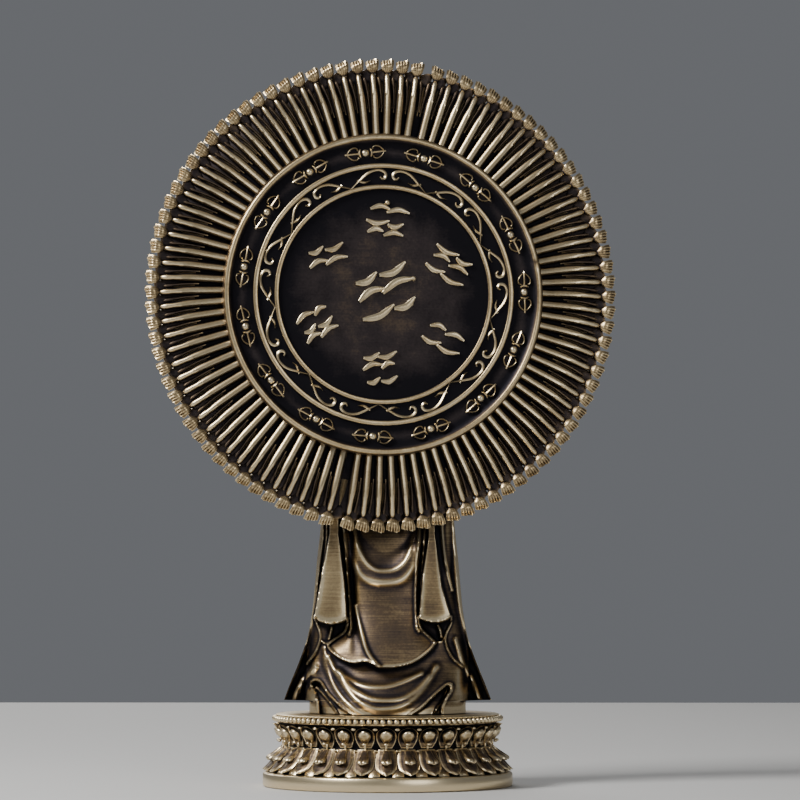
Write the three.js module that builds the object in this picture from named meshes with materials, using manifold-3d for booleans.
// A cast brass statuette: a robed figure of Manjushri on a double lotus plinth, with a round wheel
// of many arms behind it and an ornamented plate on the back of the wheel.
// Millimetres, +Z up. The origin is the centre of the plinth's underside, and the front looks along -Y.
import * as THREE from 'three';
import { mergeVertices } from 'three/addons/utils/BufferGeometryUtils.js';
import Module from 'manifold-3d';

const wasm = await Module();
wasm.setup();

// Driving dimensions
const castingGap = 0.3;

const plinth = { bandRadius: 35.8, bandHeight: 4.1, waistRadius: 30.8, waistZ: 11.8, beadRadius: 32.7,
  beadZ: 19.5, beadSize: 1.0, top: 20.7, petals: 32 };

const wheel = { centreZ: 140, radius: 68, back: 13.2, turn: 8.5, offset: 1.05, pivot: 13.7, arms: 94,
  pitch: 3.8, breakAngle: 11.4, wrist: 63.8, elbow: 55.6, root: 46.6, armDepth: 1.7, frontRim: 10.2, frontCentre: 5.2 };

const medallion = { radius: 46, ridge: 44.8, middle: 36.7, inner: 30.6, thickness: 2.6, field: 1.3,
  vajraRadius: 40.6, vajras: 15, vajraTurn: -7.5 };

const robe = { foot: plinth.top + castingGap, footHalf: 22.4, wingHem: 24.5, neck: 118, shift: 0.7 };

const head = { z: 128.5, y: -4.5, width: 12.6, depth: 14, height: 17.6 };

const brass = { color: 0x8a6d3e, roughness: 0.42, metalness: 1 };

// Small helpers for shaping
const degrees = Math.PI / 180;
const clamp01 = (t) => Math.min(1, Math.max(0, t));
const smooth = (a, b, x) => {
  const t = clamp01((x - a) / (b - a));
  return t * t * (3 - 2 * t);
};
const mix = (a, b, t) => a + (b - a) * t;
const bump = (x, centre, width) => Math.exp(-(((x - centre) / width) ** 2));

// A smooth curve through a few [height, value] pairs
function curve(pairs) {
  return (z) => {
    if (z <= pairs[0][0]) return pairs[0][1];
    for (let i = 1; i < pairs.length; i += 1) {
      const [z0, v0] = pairs[i - 1];
      const [z1, v1] = pairs[i];
      if (z <= z1) return mix(v0, v1, smooth(z0, z1, z) * 0.5 + ((z - z0) / (z1 - z0)) * 0.5);
    }
    return pairs[pairs.length - 1][1];
  };
}

// A closed skin made of loops of points. The first and last loops close on a point of their own.
// Neighbouring loops have the same count, or the next has one point for each `ratio` of the last.
function skin(first, loops, last) {
  const points = [first, ...loops.flat(), last];
  const starts = [];
  let next = 1;
  for (const loop of loops) {
    starts.push(next);
    next += loop.length;
  }
  const end = points.length - 1;
  const faces = [];
  const opening = loops[0].length;
  for (let i = 0; i < opening; i += 1) faces.push(0, 1 + ((i + 1) % opening), 1 + i);
  for (let k = 0; k + 1 < loops.length; k += 1) {
    const many = loops[k].length;
    const few = loops[k + 1].length;
    const ratio = many / few;
    for (let j = 0; j < few; j += 1) {
      const a = starts[k + 1] + j;
      const b = starts[k + 1] + ((j + 1) % few);
      const half = Math.ceil(ratio / 2);
      for (let i = 0; i < ratio; i += 1) {
        const c = starts[k] + j * ratio + i;
        const d = starts[k] + ((j * ratio + i + 1) % many);
        faces.push(c, d, i < half ? a : b);
        if (i + 1 === half) faces.push(d, b, a);
      }
    }
  }
  const closing = loops[loops.length - 1].length;
  const base = starts[loops.length - 1];
  for (let i = 0; i < closing; i += 1) faces.push(base + i, base + ((i + 1) % closing), end);
  const geometry = new THREE.BufferGeometry();
  geometry.setAttribute('position', new THREE.Float32BufferAttribute(points.flat(), 3));
  geometry.setIndex(faces);
  return geometry;
}

function toManifold(geometry) {
  const bare = geometry.clone();
  bare.deleteAttribute('normal');
  bare.deleteAttribute('uv');
  const merged = mergeVertices(bare, 1e-4);
  const vertProperties = new Float32Array(merged.attributes.position.array);
  const corners = merged.index.array;
  const kept = [];
  for (let i = 0; i < corners.length; i += 3) {
    const [a, b, c] = corners.slice(i, i + 3);
    if (a !== b && b !== c && c !== a) kept.push(a, b, c);
  }
  const triVerts = new Uint32Array(kept);
  return new wasm.Manifold(new wasm.Mesh({ numProp: 3, vertProperties, triVerts }));
}

function toGeometry(solid) {
  const mesh = solid.getMesh();
  const geometry = new THREE.BufferGeometry();
  geometry.setAttribute('position', new THREE.BufferAttribute(new Float32Array(mesh.vertProperties), 3));
  geometry.setIndex(new THREE.BufferAttribute(new Uint32Array(mesh.triVerts), 1));
  return geometry;
}

function castTogether(geometries) {
  const solids = geometries.map(toManifold);
  return toGeometry(solids.reduce((whole, solid) => whole.add(solid)));
}

function castMesh(name, geometry) {
  const mesh = new THREE.Mesh(geometry, new THREE.MeshStandardMaterial(brass));
  mesh.name = name;
  geometry.computeVertexNormals();
  return mesh;
}

// The plinth: a band, a down-turned and an upright row of petals, a bead rim and a flat top.
// Each petal has two columns of points: its middle line and the groove beside it.
function lotusPlinth() {
  const count = plinth.petals * 2;
  const ring = (radiusAt, zAt) => Array.from({ length: count }, (_, i) => {
    const angle = (i / count) * 2 * Math.PI;
    const ridge = i % 2 === 0 ? 1 : 0;
    const radius = radiusAt(ridge);
    return [radius * Math.cos(angle), radius * Math.sin(angle), zAt(ridge)];
  });
  const flat = (radius, z) => ring(() => radius, () => z);
  const petal = (middle, groove, zMiddle, zGroove) => ring(
    (ridge) => (ridge ? middle : groove),
    (ridge) => (ridge ? zMiddle : zGroove),
  );
  const { bandRadius: band, bandHeight, waistRadius: waist, waistZ, beadRadius: bead, beadZ, beadSize } = plinth;
  const loops = [
    flat(band, 0),
    flat(band - 0.9, bandHeight - 0.4),
    flat(band - 1.5, bandHeight),
    petal(band - 0.8, band - 3.6, bandHeight + 0.6, bandHeight + 1.4),
    petal(band - 1.3, band - 3.9, bandHeight + 2.4, bandHeight + 3.2),
    petal(waist + 2.3, waist + 0.5, waistZ - 2.4, waistZ - 1.8),
    flat(waist, waistZ),
    petal(waist + 2.0, waist + 0.3, waistZ + 1.8, waistZ + 1.4),
    petal(bead + 0.5, bead - 1.7, waistZ + 4.6, waistZ + 3.8),
    petal(bead - 0.1, bead - 2.0, beadZ - beadSize - 0.1, beadZ - beadSize - 0.9),
    flat(bead - 0.7, beadZ - beadSize + 0.1),
    flat(bead + 0.2, beadZ),
    flat(bead - 0.7, plinth.top),
  ];
  return skin([0, 0, 0], loops, [0, 0, plinth.top]);
}

// The arm wheel. Angles run clockwise as seen from the back, from the top.
const onWheel = (radius, angle, y) => [-radius * Math.sin(angle), y, radius * Math.cos(angle)];

// Arms come in two mirrored halves that part at the break line, with a wider gap there. Their roots lean
// towards the break line's upper end, most of all at the sides.
function armAngle(index) {
  const half = wheel.arms / 2;
  const spare = (360 - wheel.arms * wheel.pitch) / 2;
  const side = index < half ? 0 : 1;
  const place = (index % half) + 0.5;
  const degreesRound = wheel.breakAngle + side * 180 + spare / 2 + place * wheel.pitch;
  return { angle: degreesRound * degrees, lean: -Math.sin((degreesRound - wheel.breakAngle) * degrees) };
}

// One loop of the wheel's back: for each arm the groove before it and the two shoulders of its back
function armLoop(radius, { crest, groove, halfWidth, grooveRadius = radius, slant = 0 }) {
  const loop = [];
  for (let index = 0; index < wheel.arms; index += 1) {
    const { angle, lean } = armAngle(index);
    const shift = lean * slant * degrees;
    const before = armAngle((index + wheel.arms - 1) % wheel.arms);
    const gap = ((angle - before.angle + 4 * Math.PI) % (2 * Math.PI)) / 2;
    const shiftBefore = (shift + before.lean * slant * degrees) / 2;
    const half = halfWidth / radius;
    loop.push(onWheel(grooveRadius, angle - gap + shiftBefore, groove));
    loop.push(onWheel(radius, angle + shift - half, crest));
    loop.push(onWheel(radius, angle + shift + half, crest));
  }
  return loop;
}

// One loop of the wheel's front: one point an arm, every second one on a crest
function frontLoop(radius, y, relief) {
  return Array.from({ length: wheel.arms }, (_, index) => {
    const { angle } = armAngle(index);
    const crest = index % 2 === 0 ? 1 : 0;
    return onWheel(radius + relief * 0.5 * crest, angle, y - relief * crest);
  });
}

function armWheel() {
  const { back, root, elbow, wrist, radius, armDepth } = wheel;
  const seat = (r, y) => armLoop(r, { crest: y, groove: y, halfWidth: r * 0.011 });
  const loops = [
    seat(root - 0.3, back - 0.4),
    armLoop(root, { crest: back, groove: back - armDepth, halfWidth: 0.85, slant: 1.2 }),
    armLoop(elbow, { crest: back + 0.5, groove: back - armDepth, halfWidth: 1.1, slant: 0.7 }),
    armLoop(wrist, { crest: back - 0.9, groove: back - 0.9 - armDepth, halfWidth: 1.05, slant: 0.2 }),
    armLoop(radius - 1.2, { crest: back - 0.9, groove: back - 1.2 - armDepth, halfWidth: 1.75,
      grooveRadius: radius - 1.9 }),
    armLoop(radius, { crest: back - 1.5, groove: back - 1.4 - armDepth, halfWidth: 1.3,
      grooveRadius: radius - 1.7 }),
    frontLoop(radius - 1.4, wheel.frontRim, 0.5),
    frontLoop(radius * 0.87, wheel.frontRim - 0.6, 0.7),
    frontLoop(radius * 0.85, wheel.frontRim - 2.6, 0.7),
    frontLoop(radius * 0.70, wheel.frontRim - 2.4, 0.7),
    frontLoop(radius * 0.68, wheel.frontCentre + 0.8, 0.7),
    frontLoop(radius * 0.52, wheel.frontCentre, 0),
  ];
  return skin([0, back - 0.4, 0], loops, [0, wheel.frontCentre, 0]);
}

// The plate on the back of the wheel: three raised rings, thunderbolts in the outer band, a plain middle
function backMedallion() {
  const columns = medallion.vajras * 3;
  const base = wheel.back - 0.4 + castingGap;
  const top = base + medallion.thickness;
  const field = base + medallion.field;
  const ring = (radius, height, vajra = 0) => Array.from({ length: columns }, (_, i) => {
    const angle = (medallion.vajraTurn + ((i + 0.5) / columns) * 360) * degrees;
    const onVajra = i % 3 === 1 ? 0 : 1;
    return onWheel(radius, angle, height + vajra * onVajra);
  });
  const { ridge, middle, inner, vajraRadius, radius } = medallion;
  const loops = [
    ring(inner - 0.9, field),
    ring(inner - 0.2, top - 0.6),
    ring(inner + 0.5, top - 0.6),
    ring(inner + 1.0, field),
    ring(middle - 0.9, field),
    ring(middle, top - 0.4),
    ring(middle + 0.9, field),
    ring(vajraRadius, field, 1.0),
    ring(ridge - 1.1, field),
    ring(ridge - 0.5, top),
    ring(ridge + 0.5, top),
    ring(radius, base + 0.6),
    ring(radius - 0.5, base),
  ];
  return skin([0, field, 0], loops, [0, base, 0]);
}

// The robe, seen from the back. u runs to the right of that view, so u = -x. Each function below gives
// one line of the drapery at height z, or the depth y of the cloth at a place on the back.
const wingEdge = curve([[24.5, 29.7], [34.6, 25.3], [41.7, 22.1], [53, 20.4], [72.6, 19.2], [88, 18.6],
  [100, 18.4], [108, 17.2], [112, 14.6], [115, 8.4], [118, 3.8]]);
const sleeveOuter = curve([[45, 19.6], [56, 18.0], [72.6, 14.6], [88, 13.6]]);
const sleeveInner = curve([[45, 10.0], [56, 11.0], [72.6, 12.4], [88, 11.6]]);
const coreDepth = curve([[21, 19], [27, 16.4], [33, 11.8], [36, 10.4], [50, 8.8], [64, 8.6], [72, 6.8], [77, 4.6],
  [118, 4.2]]);
const coreHalf = curve([[21, 23], [33, 22.2], [45, 20], [60, 18.4], [112, 18]]);
const panelHem = (u) => 34 + 6.6 * Math.min(1.15, (Math.abs(u) / 15.5) ** 2.6);
const sleeveHem = (u) => 44.4 + 1.6 * Math.min(1, Math.abs(Math.abs(u) - 14.8) / 4.8);
const skirtSag = (u) => 0.045 * u * u;

function backDepth(u, z) {
  const side = Math.abs(u);
  const round = Math.sqrt(clamp01(1 - (side / coreHalf(z)) ** 2));
  let y = coreDepth(z) * round - 1.4 * (1 - round);
  const below = smooth(panelHem(u) + 0.1, panelHem(u) - 0.3, z);
  // Folds that hang in curves from side to side under the centre panel
  const sag = z - skirtSag(u);
  y += below * round * (1.1 * bump(sag, 26.8, 0.9) + 1.2 * bump(sag, 23.4, 0.9) + 0.9 * bump(sag, 19.8, 1.0));
  // The centre panel flares out over its hem
  const onPanel = smooth(17.5, 15, side) * (1 - below);
  y += onPanel * 3.2 * smooth(48, 34, z) * round;
  // A U-shaped fold high on the panel
  const cowl = z - 57.4 - 0.12 * u * u;
  y += 1.2 * bump(cowl, 0, 1.6) * smooth(11.5, 9, side) * smooth(75, 70, z);
  // A slanting pleat on the left of the panel
  const pleat = mix(-2.8, -7, clamp01((z - 34.6) / 15.7));
  y += 0.9 * bump(u, pleat, 0.8) * smooth(52, 46, z) * (1 - below);
  // Sleeve pleats stand out beside the panel, and their hems are open below
  const inSleeve = smooth(sleeveInner(z) - 0.5, sleeveInner(z) + 0.3, side)
    * smooth(sleeveOuter(z) + 0.5, sleeveOuter(z) - 0.3, side);
  const sleeve = mix(8.6, 12.6, smooth(74, 46, z));
  const hemSide = smooth(sleeveHem(u) - 0.3, sleeveHem(u) + 0.1, z);
  const outward = smooth(78, 70, z);
  y = mix(y, mix(y, sleeve, outward), inSleeve * hemSide);
  // A groove on the panel's side of each sleeve
  y -= 2.2 * bump(side, sleeveInner(z) - 1.6, 1.1) * hemSide * outward * (1 - inSleeve);
  // The hollow under each sleeve's hem
  const mouth = 4.6 * clamp01((z - 40.6) / 4);
  y -= 3.4 * smooth(mouth + 0.4, mouth - 0.4, Math.abs(side - 15.6)) * (1 - hemSide) * smooth(40, 41, z);
  // The side sheets are thin at their edge, with one fold down their middle
  const foldPlace = mix(coreHalf(z), wingEdge(z), 0.5);
  y += 1.3 * bump(side, foldPlace, 1.2) * smooth(46, 40, z) * smooth(24.6, 25, z) * (side > coreHalf(z) ? 1 : 0);
  return y;
}

// The front is hidden in the photograph: long plain folds over a rounded body
const frontReach = curve([[21, 15], [34, 12.5], [60, 10.8], [88, 10.4], [104, 9.4], [112, 7.4], [118, 7]]);
function frontDepth(u, z, half) {
  const round = Math.sqrt(clamp01(1 - (u / half) ** 2));
  const folds = 1.1 * Math.cos(u * 0.8) * smooth(92, 80, z);
  return -(frontReach(z) + folds) * round - 1.2;
}

// Each loop of the robe goes over the back from left to right, then over the front from right to left
function robeLoop(heightAt, halfAt) {
  const loop = [];
  const lanes = (z, half) => {
    const inner = sleeveInner(z);
    const outer = sleeveOuter(z);
    const all = [0, 4.6, inner - 2.4, inner - 0.5, inner + 0.3, (inner + outer) / 2, outer - 0.3,
      outer + 0.5, outer + 2];
    const most = all[all.length - 1] / (half * 0.96);
    if (most < 1) all[all.length - 1] = mix(outer + 0.5, half, 0.5);
    return all.map((lane) => lane / Math.max(1, most));
  };
  const shoulder = 15;
  const half0 = halfAt(heightAt(shoulder));
  const side = lanes(heightAt(shoulder), half0);
  const across = [...side.slice(1).reverse().map((lane) => -lane), ...side];
  loop.push([half0 + robe.shift, -0.6, heightAt(half0)]);
  for (const u of across) {
    const z = heightAt(u);
    loop.push([-u + robe.shift * (1 - Math.abs(u) / half0), backDepth(u, z), z]);
  }
  loop.push([-half0, -0.6, heightAt(half0)]);
  const fronts = 8;
  for (let i = 1; i < fronts; i += 1) {
    const u = half0 * Math.cos((i / fronts) * Math.PI);
    const z = heightAt(half0);
    loop.push([-u, frontDepth(u, z, half0), z]);
  }
  return loop;
}

function robeBody() {
  const level = (z) => () => z;
  const sagging = (z) => (u) => Math.max(z, z + skirtSag(Math.min(Math.abs(u), 15)));
  const foot = () => robe.footHalf;
  const rows = [
    [level(robe.foot), foot],
    [level(robe.wingHem - 0.2), foot],
    [level(robe.wingHem + 0.1), wingEdge],
    [(u) => Math.min(sagging(25.4)(u), 29), wingEdge],
    [(u) => Math.min(sagging(26.8)(u), 32), wingEdge],
    [(u) => Math.min(sagging(28.6)(u), 33.4), wingEdge],
    [(u) => panelHem(u) - 0.4, wingEdge],
    [(u) => panelHem(u) + 0.15, wingEdge],
    [(u) => panelHem(u) + 2.2, wingEdge],
    [(u) => Math.max(sleeveHem(u) - 0.4, panelHem(u) + 2.6), wingEdge],
    [(u) => Math.max(sleeveHem(u) + 0.15, panelHem(u) + 3.1), wingEdge],
    [level(51), wingEdge],
    [(u) => 55 + 0.09 * Math.min(u * u, 90), wingEdge],
    [(u) => 57.4 + 0.11 * Math.min(u * u, 90), wingEdge],
    [(u) => 60 + 0.1 * Math.min(u * u, 90), wingEdge],
    [level(70.5), wingEdge],
    [level(77), wingEdge],
    [level(94), wingEdge],
    [level(110), wingEdge],
    [level(115), wingEdge],
    [level(robe.neck + 3), wingEdge],
  ];
  const loops = rows.map(([heightAt, halfAt]) => robeLoop(heightAt, halfAt));
  return skin([0, 0, robe.foot], loops, [0, -3, robe.neck + 3]);
}

// An egg-shaped solid between two ends, for a limb or a hand
function limb(from, to, radius, flatness = 1) {
  const start = new THREE.Vector3(...from);
  const along = new THREE.Vector3(...to).sub(start);
  const length = along.length();
  const shape = new THREE.SphereGeometry(1, 8, 5);
  shape.scale(radius, length / 2 + radius * 0.5, radius * flatness);
  const turn = new THREE.Quaternion().setFromUnitVectors(new THREE.Vector3(0, 1, 0), along.normalize());
  shape.applyQuaternion(turn);
  const middle = start.addScaledVector(along, length / 2);
  return shape.translate(middle.x, middle.y, middle.z);
}

// The head with its long ears, a band with five leaves, and a high knot of hair
function headPieces() {
  const egg = new THREE.SphereGeometry(0.5, 12, 8);
  egg.rotateX(90 * degrees);
  egg.scale(head.width, head.depth, head.height);
  egg.translate(0, head.y, head.z);
  const nose = new THREE.ConeGeometry(1.2, 4.6, 4);
  nose.rotateX(-14 * degrees);
  nose.translate(0, head.y - head.depth / 2 - 0.1, head.z - 0.6);
  const ears = [-1, 1].map((side) => limb(
    [side * head.width * 0.5, head.y + 0.6, head.z - 5.4],
    [side * head.width * 0.51, head.y + 0.6, head.z + 2.2], 1.1));
  const band = new THREE.CylinderGeometry(6.9, 6.9, 2.2, 14);
  band.rotateX(90 * degrees);
  band.translate(0, head.y + 0.4, head.z + 5.4);
  const knot = new THREE.LatheGeometry([[0, 0], [4.6, 0], [4.9, 3.4], [3.1, 7.6], [3.7, 10], [2.2, 13.4],
    [0, 15]].map(([x, y]) => new THREE.Vector2(x, y)), 10);
  knot.rotateX(90 * degrees);
  knot.translate(0, head.y + 1, head.z + 6);
  const leafOutline = new THREE.Shape();
  leafOutline.moveTo(-2.4, 0);
  leafOutline.quadraticCurveTo(-3.2, 4.2, 0, 9.4);
  leafOutline.quadraticCurveTo(3.2, 4.2, 2.4, 0);
  const leaves = [-2, -1, 0, 1, 2].map((place) => {
    const leaf = new THREE.ExtrudeGeometry(leafOutline, { depth: 1.1, bevelEnabled: false, curveSegments: 3 });
    leaf.rotateX(90 * degrees);
    leaf.translate(0, -5.9, 0);
    leaf.rotateZ(place * 36 * degrees);
    return leaf.translate(0, head.y + 0.4, head.z + 5.2);
  });
  return [egg, nose, ...ears, band, knot, ...leaves];
}

// Upper arms hang at the sides, forearms come forward, and the palms meet before the chest
function armPieces() {
  const palms = { y: -16.5, low: 97, high: 107.5 };
  const pieces = [];
  for (const side of [-1, 1]) {
    const shoulderJoint = [side * 13.4, -3.4, 109];
    const elbowJoint = [side * 17.4, -6, 92];
    const wristJoint = [side * 1.7, palms.y + 0.6, palms.low];
    pieces.push(limb(shoulderJoint, elbowJoint, 4.6));
    pieces.push(limb(elbowJoint, wristJoint, 3.7));
    pieces.push(limb(wristJoint, [side * 1.0, palms.y, palms.high], 1.9, 1.2));
  }
  return pieces;
}

const figure = castMesh('robed_figure', castTogether([robeBody(), ...headPieces(), ...armPieces()]));
const base = castMesh('lotus_plinth', lotusPlinth());
const arms = castMesh('arm_wheel', armWheel());
const plate = castMesh('back_medallion', backMedallion());

const halo = new THREE.Group();
halo.add(arms, plate);
arms.position.y = -wheel.pivot;
plate.position.y = -wheel.pivot;
halo.position.set(wheel.offset, wheel.pivot, wheel.centreZ);
halo.rotation.z = wheel.turn * degrees;

const statuette = new THREE.Group();
statuette.add(base, figure, halo);

export default statuette;
